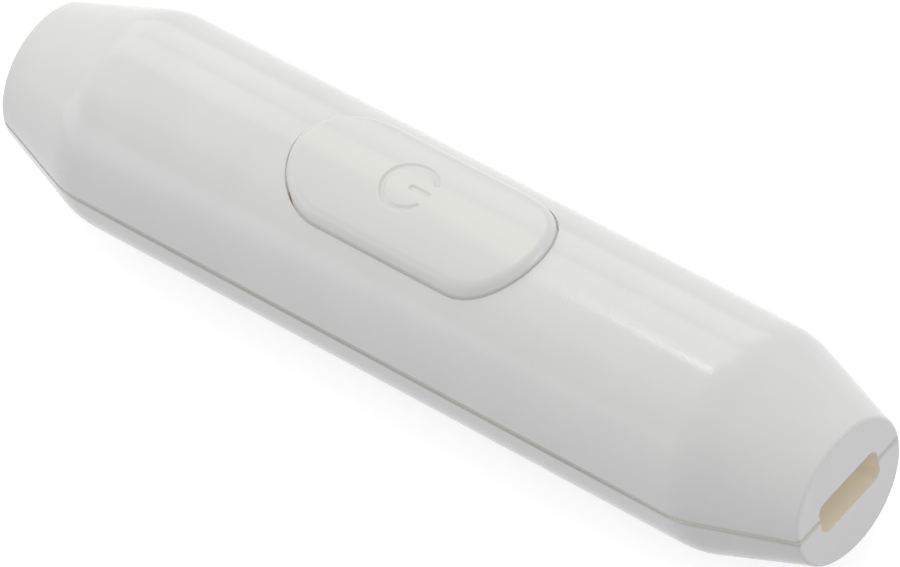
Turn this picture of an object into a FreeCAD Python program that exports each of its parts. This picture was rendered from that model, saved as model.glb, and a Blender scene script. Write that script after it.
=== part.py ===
# Inline cord switch: tapered two-part housing, push key and latching contact mechanism
# Millimetres. X runs along the body, Z is up, the origin is the middle of the flat base.
import math
import os

import FreeCAD
import Part
import Sketcher

# Driving sizes
SIZES = [
    ("body_length", 84.0),
    ("body_diameter", 19.3),
    ("end_diameter", 12.76),
    ("taper_length", 9.6),
    ("kink_radius", 8.0),
    ("end_bevel", 0.2),
    ("base_cut", 0.65),
    ("seam_rise", 0.2),
    ("seam_gap", 0.26),
    ("shell_wall", 1.6),
    ("end_wall", 3.0),
    ("lip_height", 0.9),
    ("lip_clearance", 0.1),
    ("slot_width", 7.3),
    ("slot_height", 3.3),
    ("slot_corner", 0.9),
    ("key_length", 24.9),
    ("key_width", 11.2),
    ("key_clearance", 0.15),
    ("key_rise", 0.75),
    ("key_wall", 1.3),
    ("key_depth", 4.65),
    ("key_bevel", 0.55),
    ("key_travel", 2.0),
    ("tab_reach", 1.3),
    ("tab_width", 4.0),
    ("tab_height", 1.5),
    ("tab_gap", 0.4),
    ("boss_margin", 1.0),
    ("boss_lift", 0.2),
    ("socket_depth", 2.2),
    ("socket_fit", 0.02),
    ("plunger_length", 5.0),
    ("plunger_width", 5.2),
    ("stop_gap", 0.05),
    ("frame_wall", 1.1),
    ("frame_clearance", 0.15),
    ("frame_floor", 1.0),
    ("frame_gap", 0.5),
    ("foot_half", 2.0),
    ("keel_height", 1.3),
    ("chamber_depth", 1.25),
    ("ear_width", 0.85),
    ("cover_thickness", 0.8),
    ("cover_gap", 0.35),
    ("pin_radius", 0.3),
    ("pin_fit", 0.05),
    ("pin_swing", 14.0),
    ("pin_hang", 0.9),
    ("pin_drop", 3.6),
    ("track_depth", 1.0),
    ("track_slack", 0.2),
    ("track_foot", 0.75),
    ("track_top", 1.85),
    ("strip_thickness", 0.8),
    ("strip_level", 2.8),
    ("strip_margin", 0.2),
    ("elbow_length", 3.6),
    ("block_length", 5.0),
    ("block_width", 4.4),
    ("block_height", 5.4),
    ("block_setback", 6.0),
    ("block_y", 3.6),
    ("block_step", 0.5),
    ("link_width", 1.6),
    ("wire_opening", 2.8),
    ("grub_radius", 1.2),
    ("grub_stand", 0.6),
    ("thread_fit", 0.05),
    ("driver_slot", 0.5),
    ("bridge_length", 14.8),
    ("bridge_width", 2.6),
    ("bridge_thickness", 0.5),
    ("bridge_clearance", 0.1),
    ("tip_half", 0.9),
    ("tip_height", 0.4),
    ("window_height", 2.9),
    ("leaf", 0.25),
    ("leaf_margin", 0.3),
    ("contact_x", 6.2),
    ("contact_gap", 0.05),
    ("spring_radius", 1.2),
    ("spring_wire", 0.2),
    ("spring_turns", 2.5),
    ("spring_offset", 0.7),
    ("spring_clearance", 0.15),
    ("spring_seat", 0.02),
    ("bore_top", 0.9),
    ("clamp_setback", 2.0),
    ("clamp_length", 4.0),
    ("clamp_inset", 1.45),
    ("clamp_height", 1.8),
    ("clamp_screw_inset", 2.85),
    ("clamp_screw_radius", 1.05),
    ("clamp_screw_length", 6.4),
    ("clamp_head_radius", 1.6),
    ("clamp_head_height", 1.1),
    ("ridge_half", 0.6),
    ("ridge_length", 6.4),
    ("post_half", 1.5),
    ("post_top", 0.9),
    ("boss_setback", 7.8),
    ("boss_radius", 3.1),
    ("pilot_depth", 6.5),
    ("screw_radius", 1.25),
    ("screw_end_gap", 1.0),
    ("screw_clearance", 0.1),
    ("screw_head_radius", 2.3),
    ("screw_head_height", 1.8),
    ("recess_clearance", 0.3),
    ("recess_depth", 2.5),
    ("cross_length", 2.6),
    ("cross_width", 0.6),
    ("cross_depth", 0.9),
    ("rib_thickness", 1.2),
    ("rib_x", 9.0),
]

# How far cutting bodies run past what they cut
OVER = "1"

size = dict(SIZES)
doc = FreeCAD.newDocument("InlineCordSwitch")
sheet = doc.addObject("Spreadsheet::Sheet", "Sizes")
for row, (alias, value) in enumerate(SIZES, start=1):
    sheet.set(f"A{row}", alias.replace("_", " "))
    sheet.set(f"B{row}", str(value))
    sheet.setAlias(f"B{row}", alias)
doc.recompute()

# Expressions that several pieces share, with heights counted from the body's axis
HALF = "Sizes.body_length / 2"
SKIN = "Sizes.body_diameter / 2"
KINK = f"({HALF} - Sizes.taper_length)"
AXIS = f"({SKIN} - Sizes.base_cut)"
BASE = f"(0 - {AXIS})"
SEAM = "Sizes.seam_rise"
WALL = "Sizes.shell_wall"
CAVITY = f"({SKIN} - {WALL})"
FLOOR = f"({BASE} + {WALL})"
BOSS_X = f"({KINK} - Sizes.boss_setback)"
BLOCK_X = f"({BOSS_X} - Sizes.block_setback)"
CLAMP_X = f"({KINK} - Sizes.clamp_setback)"
CLAMP_Y = f"({CAVITY} - Sizes.clamp_screw_inset)"
KEY_BASE = f"({SKIN} - Sizes.key_depth)"
KEY_TOP = f"({SKIN} + Sizes.key_rise)"
PLUNGER_TOP = f"({KEY_BASE} + Sizes.socket_depth)"
FRAME_X = "(Sizes.plunger_length / 2 + Sizes.frame_clearance + Sizes.frame_wall)"
FRAME_Y = "(Sizes.plunger_width / 2 + Sizes.frame_clearance + Sizes.frame_wall)"
FRAME_TOP = f"({KEY_BASE} - Sizes.key_travel - Sizes.frame_gap)"
FRAME_FLOOR = f"({FLOOR} + Sizes.frame_floor)"
PLUNGER_BASE = f"({FRAME_FLOOR} + Sizes.key_travel + Sizes.stop_gap)"
STRIP_TOP = "(0 - Sizes.strip_level)"
STRIP_BASE = f"({STRIP_TOP} - Sizes.strip_thickness)"
BRIDGE_BASE = f"({STRIP_TOP} + Sizes.key_travel + 2 * Sizes.tip_height + Sizes.contact_gap)"
PIN_PIVOT = f"({FRAME_TOP} - Sizes.pin_hang)"
PIN_LEVEL = "(0 - Sizes.pin_drop)"
BORE_TOP = "(0 - Sizes.bore_top)"
BORE_Y = "(0 - Sizes.spring_offset)"


def bind(item, **values):
    """Bind properties of an object to expressions."""
    for name, text in values.items():
        item.setExpression(name, str(text))


def turn(item, axis, angle):
    """Turn an object about an axis through the origin."""
    item.Placement = FreeCAD.Placement(
        FreeCAD.Vector(0, 0, 0), FreeCAD.Rotation(FreeCAD.Vector(*axis), angle)
    )


def put(item, x, y, z):
    """Place an object, with z counted from the body's axis."""
    item.setExpression("Placement.Base.x", str(x))
    item.setExpression("Placement.Base.y", str(y))
    item.setExpression("Placement.Base.z", f"{AXIS} + ({z})")


def box(name, x0, x1, y0, y1, z0, z1):
    """Box between two corners."""
    item = doc.addObject("Part::Box", name)
    bind(item, Length=f"({x1}) - ({x0})", Width=f"({y1}) - ({y0})", Height=f"({z1}) - ({z0})")
    put(item, x0, y0, z0)
    return item


def mirror_box(name, half_x, half_y, z0, z1):
    """Box centred on the Z axis."""
    return box(name, f"0 - ({half_x})", half_x, f"0 - ({half_y})", half_y, z0, z1)


def around_box(name, x, half_x, y, half_y, z0, z1):
    """Box centred on an upright line."""
    return box(
        name,
        f"{x} - ({half_x})",
        f"{x} + ({half_x})",
        f"{y} - ({half_y})",
        f"{y} + ({half_y})",
        z0,
        z1,
    )


def slab(name, z0, z1):
    """Box wider and longer than the housing between two heights."""
    return mirror_box(name, f"{HALF} + {OVER}", f"{SKIN} + {OVER}", z0, z1)


def rod(name, radius, length, x, y, z, direction="Z"):
    """Cylinder along Z, X or Y from a start point."""
    item = doc.addObject("Part::Cylinder", name)
    bind(item, Radius=radius, Height=length)
    axis, angle = {"X": ((0, 1, 0), 90), "Y": ((1, 0, 0), -90), "Z": ((0, 0, 1), 0)}[direction]
    turn(item, axis, angle)
    put(item, x, y, z)
    return item


def fuse(name, items):
    """Union of several objects."""
    item = doc.addObject("Part::MultiFuse", name)
    item.Shapes = items
    item.Refine = True
    return item


def common(name, items):
    """Overlap of several objects."""
    item = doc.addObject("Part::MultiCommon", name)
    item.Shapes = items
    item.Refine = True
    return item


def cut(name, base, tool):
    """One object less another."""
    item = doc.addObject("Part::Cut", name)
    item.Base = base
    item.Tool = tool
    item.Refine = True
    return item


def group(name, items):
    """Several separate solids in one node."""
    item = doc.addObject("Part::Compound", name)
    item.Links = items
    return item


def inner_form(name, inset, end_gap):
    """Round housing form drawn in from the skin by inset and from the end faces by end_gap."""
    radius = f"{SKIN} - ({inset})"
    slope = f"({SKIN} - Sizes.end_diameter / 2) / Sizes.taper_length"
    tip = f"Sizes.end_diameter / 2 + {slope} * ({end_gap}) - ({inset})"
    length = f"Sizes.taper_length - ({end_gap})"
    parts = [rod(name + "Middle", radius, f"2 * {KINK}", f"0 - {KINK}", "0", "0", "X")]
    for tag, sign in (("A", -1), ("B", 1)):
        end = doc.addObject("Part::Cone", f"{name}Taper{tag}")
        bind(end, Radius1=radius, Radius2=tip, Height=length)
        turn(end, (0, 1, 0), sign * 90)
        put(end, f"{sign} * {KINK}", "0", "0")
        parts.append(end)
    return fuse(name, parts)


def stadium(name, length, width, z0, z1):
    """Upright prism with half-round ends."""
    straight = f"(({length}) - ({width})) / 2"
    height = f"({z1}) - ({z0})"
    radius = f"({width}) / 2"
    parts = [
        mirror_box(name + "Mid", straight, radius, z0, z1),
        rod(name + "EndA", radius, height, straight, "0", z0),
        rod(name + "EndB", radius, height, f"0 - {straight}", "0", z0),
    ]
    return fuse(name, parts)


def coil(name, radius, wire, turns, x, y, z0, z1):
    """Square wire coil spring between two heights, the wire inside those heights."""
    path = doc.addObject("Part::Helix", name + "Path")
    rise = f"({z1}) - ({z0}) - 2 * ({wire})"
    bind(path, Radius=radius, Height=rise, Pitch=f"({rise}) / {turns}")
    put(path, x, y, f"({z0}) + ({wire})")
    section = doc.addObject("Part::RegularPolygon", name + "Section")
    section.Polygon = 4
    bind(section, Circumradius=f"({wire}) * sqrt(2)")
    section.Placement = FreeCAD.Placement(
        FreeCAD.Vector(0, 0, 0),
        FreeCAD.Rotation(FreeCAD.Vector(0, 1, 0), 45) * FreeCAD.Rotation(FreeCAD.Vector(1, 0, 0), 90),
    )
    put(section, f"({x}) + ({radius})", y, f"({z0}) + ({wire})")
    item = doc.addObject("Part::Sweep", name)
    item.Sections = [section]
    item.Spine = (path, [])
    item.Solid = True
    item.Frenet = True
    return item


# Start points of the housing's half section, so that the sketch solves near its sizes
half = size["body_length"] / 2
skin = size["body_diameter"] / 2
end_radius = size["end_diameter"] / 2
kink = half - size["taper_length"]
slope = math.atan2(skin - end_radius, size["taper_length"])
reach = size["kink_radius"] * math.tan(slope / 2)
end_foot = FreeCAD.Vector(half, 0, 0)
end_top = FreeCAD.Vector(half, end_radius, 0)
kink_point = FreeCAD.Vector(kink, skin, 0)
flat_end = FreeCAD.Vector(kink - reach, skin, 0)
taper_top = FreeCAD.Vector(kink + reach * math.cos(slope), skin - reach * math.sin(slope), 0)
arc_middle = FreeCAD.Vector(
    kink - reach + size["kink_radius"] * math.sin(slope / 2),
    skin - size["kink_radius"] * (1 - math.cos(slope / 2)),
    0,
)


def flip(point):
    """Mirror a profile point to the other end."""
    return FreeCAD.Vector(-point.x, point.y, 0)


# Outer form of the housing, turned from that half section
outer = doc.addObject("PartDesign::Body", "OuterForm")
outer.setExpression("Placement.Base.z", AXIS)
profile = outer.newObject("Sketcher::SketchObject", "OuterProfile")
for feature in outer.Origin.OriginFeatures:
    if feature.Role == "XZ_Plane":
        profile.AttachmentSupport = [(feature, "")]
profile.MapMode = "FlatFace"
profile.addGeometry(Part.LineSegment(flip(end_foot), flip(end_top)), False)
profile.addGeometry(Part.LineSegment(flip(end_top), flip(taper_top)), False)
profile.addGeometry(Part.Arc(flip(flat_end), flip(arc_middle), flip(taper_top)), False)
profile.addGeometry(Part.LineSegment(flip(flat_end), flat_end), False)
profile.addGeometry(Part.Arc(taper_top, arc_middle, flat_end), False)
profile.addGeometry(Part.LineSegment(taper_top, end_top), False)
profile.addGeometry(Part.LineSegment(end_top, end_foot), False)
profile.addGeometry(Part.LineSegment(end_foot, flip(end_foot)), False)
profile.addGeometry(Part.Point(kink_point), True)
for first, second in ((0, 1), (5, 6), (6, 7), (7, 0)):
    profile.addConstraint(Sketcher.Constraint("Coincident", first, 2, second, 1))
profile.addConstraint(Sketcher.Constraint("Tangent", 1, 2, 2, 2))
profile.addConstraint(Sketcher.Constraint("Tangent", 2, 1, 3, 1))
profile.addConstraint(Sketcher.Constraint("Tangent", 3, 2, 4, 2))
profile.addConstraint(Sketcher.Constraint("Tangent", 4, 1, 5, 1))
profile.addConstraint(Sketcher.Constraint("Vertical", 6))
profile.addConstraint(Sketcher.Constraint("PointOnObject", 6, 2, -1))
profile.addConstraint(Sketcher.Constraint("Symmetric", 0, 1, 6, 2, -2))
profile.addConstraint(Sketcher.Constraint("Symmetric", 0, 2, 6, 1, -2))
profile.addConstraint(Sketcher.Constraint("Symmetric", 2, 3, 4, 3, -2))
profile.addConstraint(Sketcher.Constraint("Horizontal", 3))
profile.addConstraint(Sketcher.Constraint("PointOnObject", 8, 1, 3))
profile.addConstraint(Sketcher.Constraint("PointOnObject", 8, 1, 5))
PROFILE_SIZES = [
    (Sketcher.Constraint("DistanceX", -1, 1, 6, 2, half), HALF),
    (Sketcher.Constraint("DistanceY", 6, 2, 6, 1, end_radius), "Sizes.end_diameter / 2"),
    (Sketcher.Constraint("DistanceY", -1, 1, 3, 2, skin), SKIN),
    (Sketcher.Constraint("DistanceX", -1, 1, 8, 1, kink), KINK),
    (Sketcher.Constraint("Radius", 4, size["kink_radius"]), "Sizes.kink_radius"),
]
for constraint, text in PROFILE_SIZES:
    number = profile.addConstraint(constraint)
    profile.setExpression(f"Constraints[{number}]", text)
turned = outer.newObject("PartDesign::Revolution", "OuterTurned")
turned.Profile = profile
turned.ReferenceAxis = (profile, ["H_Axis"])
turned.Angle = 360
doc.recompute()
end_edges = []
for number, edge in enumerate(turned.Shape.Edges, start=1):
    if len(edge.Vertexes) == 1 and abs(edge.BoundBox.XMin) > kink + reach and edge.BoundBox.XLength < 0.01:
        if abs(abs(edge.BoundBox.XMin) - half) < 0.01:
            end_edges.append(f"Edge{number}")
bevelled = outer.newObject("PartDesign::Chamfer", "EndBevel")
bevelled.Base = (turned, end_edges)
bevelled.setExpression("Size", "Sizes.end_bevel")
outer.Tip = bevelled
doc.recompute()

# Forms that both housing halves share
cavity = inner_form("Cavity", WALL, "Sizes.end_wall")
bedding = inner_form("Bedding", f"{WALL} / 2", "Sizes.end_wall / 2")
lip_outside = inner_form(
    "LipOutside", f"{WALL} / 2 + Sizes.lip_clearance", "Sizes.end_wall / 2 + Sizes.lip_clearance"
)


def cord_slot(name, sign):
    """Rounded slot through one end wall, centred on the body's axis."""
    inner = f"{sign} * ({HALF} - Sizes.end_wall - 2 * {OVER})"
    far = f"{sign} * ({HALF} + {OVER})"
    x0, x1 = (inner, far) if sign > 0 else (far, inner)
    wide = "Sizes.slot_width / 2"
    tall = "Sizes.slot_height / 2"
    corner = "Sizes.slot_corner"
    length = f"({x1}) - ({x0})"
    parts = [
        box(name + "Wide", x0, x1, f"0 - {wide}", wide, f"{corner} - {tall}", f"{tall} - {corner}"),
        box(name + "Tall", x0, x1, f"{corner} - {wide}", f"{wide} - {corner}", f"0 - {tall}", tall),
    ]
    for side in (-1, 1):
        for level in (-1, 1):
            tag = f"{name}Corner{len(parts)}"
            y = f"{side} * ({wide} - {corner})"
            z = f"{level} * ({tall} - {corner})"
            parts.append(rod(tag, corner, length, x0, y, z, "X"))
    return fuse(name, parts)


# Upper housing half
LIP_TOP = f"({SEAM} + Sizes.lip_height)"
upper_half = slab("UpperHalf", f"{SEAM} + Sizes.seam_gap / 2", f"{SKIN} + {OVER}")
upper_skin = common("UpperSkin", [outer, upper_half])
rebate_slab = slab("RebateSlab", f"{SEAM} - {OVER}", f"{LIP_TOP} + Sizes.lip_clearance")
rebate = common("Rebate", [bedding, rebate_slab])
upper_hollow = cut("UpperHollow", cut("UpperOpen", upper_skin, cavity), rebate)
upper_bosses = []
upper_holes = []
for tag, sign in (("A", -1), ("B", 1)):
    x = f"{sign} * {BOSS_X}"
    boss_length = f"{SKIN} - {WALL} / 2 - {SEAM}"
    upper_bosses.append(rod("UpperBoss" + tag, "Sizes.boss_radius", boss_length, x, "0", SEAM))
    pilot = "Sizes.screw_radius + Sizes.thread_fit"
    upper_holes.append(rod("UpperPilot" + tag, pilot, "Sizes.pilot_depth", x, "0", SEAM))
upper_solid = fuse("UpperSolid", [upper_hollow] + upper_bosses)
key_opening = stadium(
    "KeyOpening",
    "Sizes.key_length + 2 * Sizes.key_clearance",
    "Sizes.key_width + 2 * Sizes.key_clearance",
    f"{KEY_BASE} - {OVER}",
    f"{SKIN} + {OVER}",
)
upper_cuts = fuse("UpperCuts", upper_holes + [key_opening])
upper_slots = group("UpperSlots", [cord_slot("UpperSlotA", -1), cord_slot("UpperSlotB", 1)])
upper_shell = cut("UpperShell", cut("UpperBored", upper_solid, upper_cuts), upper_slots)

# Lower housing half with a flat base
lower_half = slab("LowerHalf", BASE, f"{SEAM} - Sizes.seam_gap / 2")
lower_skin = common("LowerSkin", [outer, lower_half])
lower_cavity = common("LowerCavity", [cavity, slab("CavitySlab", FLOOR, f"{SKIN} + {OVER}")])
lip_plug = common("LipPlug", [lip_outside, slab("LipSlab", f"{SEAM} - {OVER}", LIP_TOP)])
lower_full = fuse("LowerFull", [lower_skin, lip_plug])
fittings = []
for tag, sign in (("A", -1), ("B", 1)):
    for level, place in (("Inner", "Sizes.rib_x"), ("Outer", BLOCK_X)):
        rib_x = f"{sign} * {place}"
        rib_half = "Sizes.rib_thickness / 2"
        fittings.append(around_box(f"Rib{level}{tag}", rib_x, rib_half, "0", SKIN, BASE, STRIP_BASE))
    boss_x = f"{sign} * {BOSS_X}"
    fittings.append(rod("LowerBoss" + tag, "Sizes.boss_radius", f"{SEAM} - {BASE}", boss_x, "0", BASE))
    post_x = f"{sign} * {CLAMP_X}"
    for place, side in (("Screw", sign), ("Plain", -sign)):
        post_y = f"{side} * {CLAMP_Y}"
        fittings.append(
            around_box(
                f"Post{place}{tag}",
                post_x,
                "Sizes.clamp_length / 2",
                post_y,
                "Sizes.post_half",
                BASE,
                "Sizes.post_top",
            )
        )
lower_room = cut("LowerRoom", lower_cavity, fuse("Fittings", fittings))
lower_bored = cut("LowerSolid", lower_full, lower_room)
CLAMP_TOP = "(Sizes.post_top + Sizes.clamp_height)"
POST_HOLE_BASE = f"({CLAMP_TOP} - Sizes.clamp_screw_length - {OVER})"
lower_cuts = []
for tag, sign in (("A", -1), ("B", 1)):
    x = f"{sign} * {BOSS_X}"
    recess = "Sizes.screw_head_radius + Sizes.recess_clearance"
    shaft = "Sizes.screw_radius + Sizes.screw_clearance"
    post_hole = "Sizes.clamp_screw_radius + Sizes.thread_fit"
    post_depth = f"Sizes.post_top - {POST_HOLE_BASE}"
    lower_cuts.append(rod("Recess" + tag, recess, "Sizes.recess_depth", x, "0", BASE))
    lower_cuts.append(rod("Shaft" + tag, shaft, f"{SEAM} - {BASE}", x, "0", BASE))
    lower_cuts.append(
        rod(
            "PostHole" + tag,
            post_hole,
            post_depth,
            f"{sign} * {CLAMP_X}",
            f"{sign} * {CLAMP_Y}",
            POST_HOLE_BASE,
        )
    )
for index, tool in enumerate(lower_cuts):
    lower_bored = cut(f"LowerBored{index}", lower_bored, tool)
lower_slots = group("LowerSlots", [cord_slot("LowerSlotA", -1), cord_slot("LowerSlotB", 1)])
lower_shell = cut("LowerShell", lower_bored, lower_slots)

# Push key with a domed top that follows the housing
KEY_END = f"(Sizes.key_length / 2 + {OVER})"
dome = rod("KeyDome", KEY_TOP, f"2 * {KEY_END}", f"0 - {KEY_END}", "0", "0", "X")
key_block = stadium("KeyBlock", "Sizes.key_length", "Sizes.key_width", KEY_BASE, f"{KEY_TOP} + {OVER}")
key_domed = common("KeyDomed", [key_block, dome])
doc.recompute()
key_top = max(key_domed.Shape.Faces, key=lambda face: face.CenterOfMass.z)
key_rim = []
for index, edge in enumerate(key_domed.Shape.Edges, start=1):
    if any(edge.isSame(other) for other in key_top.OuterWire.Edges):
        key_rim.append((index, size["key_bevel"], size["key_bevel"]))
key_body = doc.addObject("Part::Chamfer", "KeyBody")
key_body.Base = key_domed
key_body.Edges = key_rim
key_room = stadium(
    "KeyRoom",
    "Sizes.key_length - 2 * Sizes.key_wall",
    "Sizes.key_width - 2 * Sizes.key_wall",
    f"{KEY_BASE} - {OVER}",
    f"{KEY_TOP} + {OVER}",
)
KEY_CEILING = f"({KEY_TOP} - Sizes.key_wall)"
ceiling = rod("KeyCeiling", KEY_CEILING, f"2 * {KEY_END}", f"0 - {KEY_END}", "0", "0", "X")
key_hollow = cut("KeyHollow", key_body, common("KeySpace", [key_room, ceiling]))
TAB_TOP = f"({CAVITY} - Sizes.tab_gap)"
TAB_BASE = f"({TAB_TOP} - Sizes.tab_height)"
TAB_IN = "(Sizes.key_length / 2 - Sizes.key_wall / 2)"
TAB_OUT = "(Sizes.key_length / 2 + Sizes.tab_reach)"
TAB_Y = "Sizes.tab_width / 2"
key_parts = [key_hollow]
for tag, ends in (("A", (TAB_IN, TAB_OUT)), ("B", (f"0 - {TAB_OUT}", f"0 - {TAB_IN}"))):
    key_parts.append(box("KeyTab" + tag, *ends, f"0 - {TAB_Y}", TAB_Y, TAB_BASE, TAB_TOP))
key_parts.append(
    mirror_box(
        "KeyBoss",
        "Sizes.plunger_length / 2 + Sizes.boss_margin",
        "Sizes.plunger_width / 2 + Sizes.boss_margin",
        f"{KEY_BASE} + Sizes.boss_lift",
        f"{KEY_CEILING} - Sizes.boss_lift",
    )
)
key_socket = mirror_box(
    "KeySocket",
    "Sizes.plunger_length / 2 + Sizes.socket_fit",
    "Sizes.plunger_width / 2 + Sizes.socket_fit",
    f"{KEY_BASE} - {OVER}",
    PLUNGER_TOP,
)
push_key = cut("PushKey", fuse("KeySolid", key_parts), key_socket)

# Plunger with the latch track on its +Y face and the contact window through it
plunger_block = mirror_box(
    "PlungerBlock", "Sizes.plunger_length / 2", "Sizes.plunger_width / 2", PLUNGER_BASE, PLUNGER_TOP
)
LANE_ANGLE = 31
LANE_SHIFT = "0.18"
LANE_STEP = "0.26"
TRACK_FLOOR = "(Sizes.plunger_width / 2 - Sizes.track_depth)"
TRACK_FACE = f"(Sizes.plunger_width / 2 + {OVER})"
TRACK_HALF = "(Sizes.pin_radius + Sizes.track_slack)"
TRACK_TOP = f"({PIN_LEVEL} + Sizes.key_travel)"
NOTCH_HALF = "(Sizes.pin_radius + Sizes.track_slack / 2)"
tracks = []
for tag, sign in (("A", -1), ("B", 1)):
    lane = doc.addObject("Part::Box", "Track" + tag)
    lane_width = f"{TRACK_FACE} - {TRACK_FLOOR}"
    bind(lane, Length=f"2 * {TRACK_HALF}", Width=lane_width, Height="Sizes.key_travel + Sizes.track_foot")
    turn(lane, (0, 1, 0), sign * LANE_ANGLE)
    lane_x = f"0 - {sign} * {LANE_SHIFT} - {TRACK_HALF} * cos({LANE_ANGLE})"
    put(lane, lane_x, TRACK_FLOOR, f"{PIN_LEVEL} - Sizes.pin_radius + {sign} * {LANE_STEP}")
    tracks.append(lane)
for name, half_x, z0, z1 in (
    (
        "TrackFoot",
        "Sizes.track_foot",
        f"{PIN_LEVEL} - 2 * Sizes.pin_radius",
        f"{PIN_LEVEL} + Sizes.pin_radius",
    ),
    ("TrackTop", "Sizes.track_top", f"{TRACK_TOP} - Sizes.track_slack", f"{TRACK_TOP} + Sizes.track_foot"),
    ("TrackNotch", NOTCH_HALF, f"{TRACK_TOP} - Sizes.pin_radius - Sizes.track_slack", TRACK_TOP),
):
    tracks.append(box(name, f"0 - {half_x}", half_x, TRACK_FLOOR, TRACK_FACE, z0, z1))
window = mirror_box(
    "Window",
    f"Sizes.plunger_length / 2 + {OVER}",
    "Sizes.bridge_width / 2 + Sizes.bridge_clearance",
    BRIDGE_BASE,
    f"{BRIDGE_BASE} + Sizes.window_height",
)
spring_room = "Sizes.spring_radius + Sizes.spring_wire + Sizes.spring_clearance"
BORE_BASE = f"({PLUNGER_BASE} - {OVER})"
spring_bore = rod("SpringBore", spring_room, f"{BORE_TOP} - {BORE_BASE}", "0", BORE_Y, BORE_BASE)
plunger_cuts = fuse("PlungerCuts", [fuse("Track", tracks), window, spring_bore])
plunger = cut("Plunger", plunger_block, plunger_cuts)


def pads(name, base):
    """Square silver contact pads at both ends of the bridge."""
    items = []
    for tag, sign in (("A", -1), ("B", 1)):
        x = f"{sign} * Sizes.contact_x"
        top = f"{base} + Sizes.tip_height"
        items.append(around_box(name + tag, x, "Sizes.tip_half", "0", "Sizes.tip_half", base, top))
    return group(name, items)


# Contact bridge, its tips and its bowed leaf spring, and the coil under the plunger
contact_bridge = mirror_box(
    "ContactBridge",
    "Sizes.bridge_length / 2",
    "Sizes.bridge_width / 2",
    BRIDGE_BASE,
    f"{BRIDGE_BASE} + Sizes.bridge_thickness",
)
moving_tips = pads("MovingTips", f"({BRIDGE_BASE} - Sizes.tip_height)")
LEAF_BASE = f"({BRIDGE_BASE} + Sizes.bridge_thickness)"
LEAF_RADIUS = "(Sizes.window_height - Sizes.bridge_thickness)"
LEAF_HALF = "(Sizes.bridge_width / 2 - Sizes.leaf_margin)"
leaf_ring = cut(
    "LeafRing",
    rod("LeafOutside", LEAF_RADIUS, f"2 * {LEAF_HALF}", "0", f"0 - {LEAF_HALF}", LEAF_BASE, "Y"),
    rod(
        "LeafInside",
        f"{LEAF_RADIUS} - Sizes.leaf",
        f"2 * {LEAF_HALF}",
        "0",
        f"0 - {LEAF_HALF}",
        LEAF_BASE,
        "Y",
    ),
)
leaf_room = mirror_box(
    "LeafRoom",
    f"{LEAF_RADIUS} + {OVER}",
    f"{LEAF_HALF} + {OVER}",
    LEAF_BASE,
    f"{LEAF_BASE} + {LEAF_RADIUS} + {OVER}",
)
contact_spring = common("ContactSpring", [leaf_ring, leaf_room])
return_spring = coil(
    "ReturnSpring",
    "Sizes.spring_radius",
    "Sizes.spring_wire",
    "Sizes.spring_turns",
    "0",
    BORE_Y,
    f"{FRAME_FLOOR} + Sizes.spring_seat",
    f"{BORE_TOP} - Sizes.spring_seat",
)

# Frame that guides the plunger, with a chamber for the latch pin on its +Y side
EAR_Y = f"({FRAME_Y} + Sizes.chamber_depth)"
COVER_Y = f"({EAR_Y} + Sizes.cover_thickness)"
EAR_BASE = f"(Sizes.cover_gap - sqrt({CAVITY} ^ 2 - {COVER_Y} ^ 2))"
KEEL_Y = f"(sqrt({CAVITY} ^ 2 - {FLOOR} ^ 2) - Sizes.pin_fit)"
KEEL_TOP = f"({FLOOR} + Sizes.keel_height)"
EAR_IN = f"({FRAME_Y} - Sizes.frame_wall / 2)"
frame_parts = [
    mirror_box("FrameBlock", FRAME_X, FRAME_Y, FLOOR, FRAME_TOP),
    mirror_box("Feet", "Sizes.rib_x - Sizes.rib_thickness / 2", "Sizes.foot_half", FLOOR, FRAME_FLOOR),
    box("EarA", f"0 - {FRAME_X}", f"Sizes.ear_width - {FRAME_X}", EAR_IN, EAR_Y, EAR_BASE, FRAME_TOP),
    box("EarB", f"{FRAME_X} - Sizes.ear_width", FRAME_X, EAR_IN, EAR_Y, EAR_BASE, FRAME_TOP),
]
PIN_REACH = f"({PIN_PIVOT} - {PIN_LEVEL})"
WINDOW_X = f"({PIN_REACH} * sin(Sizes.pin_swing) + 2 * Sizes.pin_radius)"
frame_cuts = [
    mirror_box(
        "FrameBore",
        f"{FRAME_X} - Sizes.frame_wall",
        f"{FRAME_Y} - Sizes.frame_wall",
        FRAME_FLOOR,
        f"{FRAME_TOP} + {OVER}",
    ),
    mirror_box(
        "FrameSlots",
        f"{FRAME_X} + {OVER}",
        "Sizes.bridge_width / 2 + 2 * Sizes.bridge_clearance",
        f"{BRIDGE_BASE} - Sizes.key_travel - Sizes.tip_height",
        f"{FRAME_TOP} + {OVER}",
    ),
    box(
        "PinWindow",
        f"0 - {WINDOW_X}",
        WINDOW_X,
        f"{FRAME_Y} - Sizes.frame_wall - {OVER}",
        f"{FRAME_Y} + Sizes.chamber_depth / 2",
        f"{PIN_LEVEL} - 3 * Sizes.pin_radius",
        f"{PIN_LEVEL} + 4 * Sizes.pin_radius",
    ),
    rod(
        "PivotHole",
        "Sizes.pin_radius + Sizes.pin_fit",
        f"Sizes.frame_wall + 2 * {OVER}",
        "0",
        f"{FRAME_Y} - Sizes.frame_wall - {OVER}",
        PIN_PIVOT,
        "Y",
    ),
]
KEEL_SIDES = (("A", (KEEL_Y, f"{FRAME_Y} + {OVER}")), ("B", (f"0 - {FRAME_Y} - {OVER}", f"0 - {KEEL_Y}")))
for tag, sides in KEEL_SIDES:
    keel_x = f"({FRAME_X} + {OVER})"
    frame_cuts.append(box("Keel" + tag, f"0 - {keel_x}", keel_x, *sides, f"{FLOOR} - {OVER}", KEEL_TOP))
mechanism_frame = cut("MechanismFrame", fuse("FrameSolid", frame_parts), fuse("FrameCuts", frame_cuts))
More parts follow.
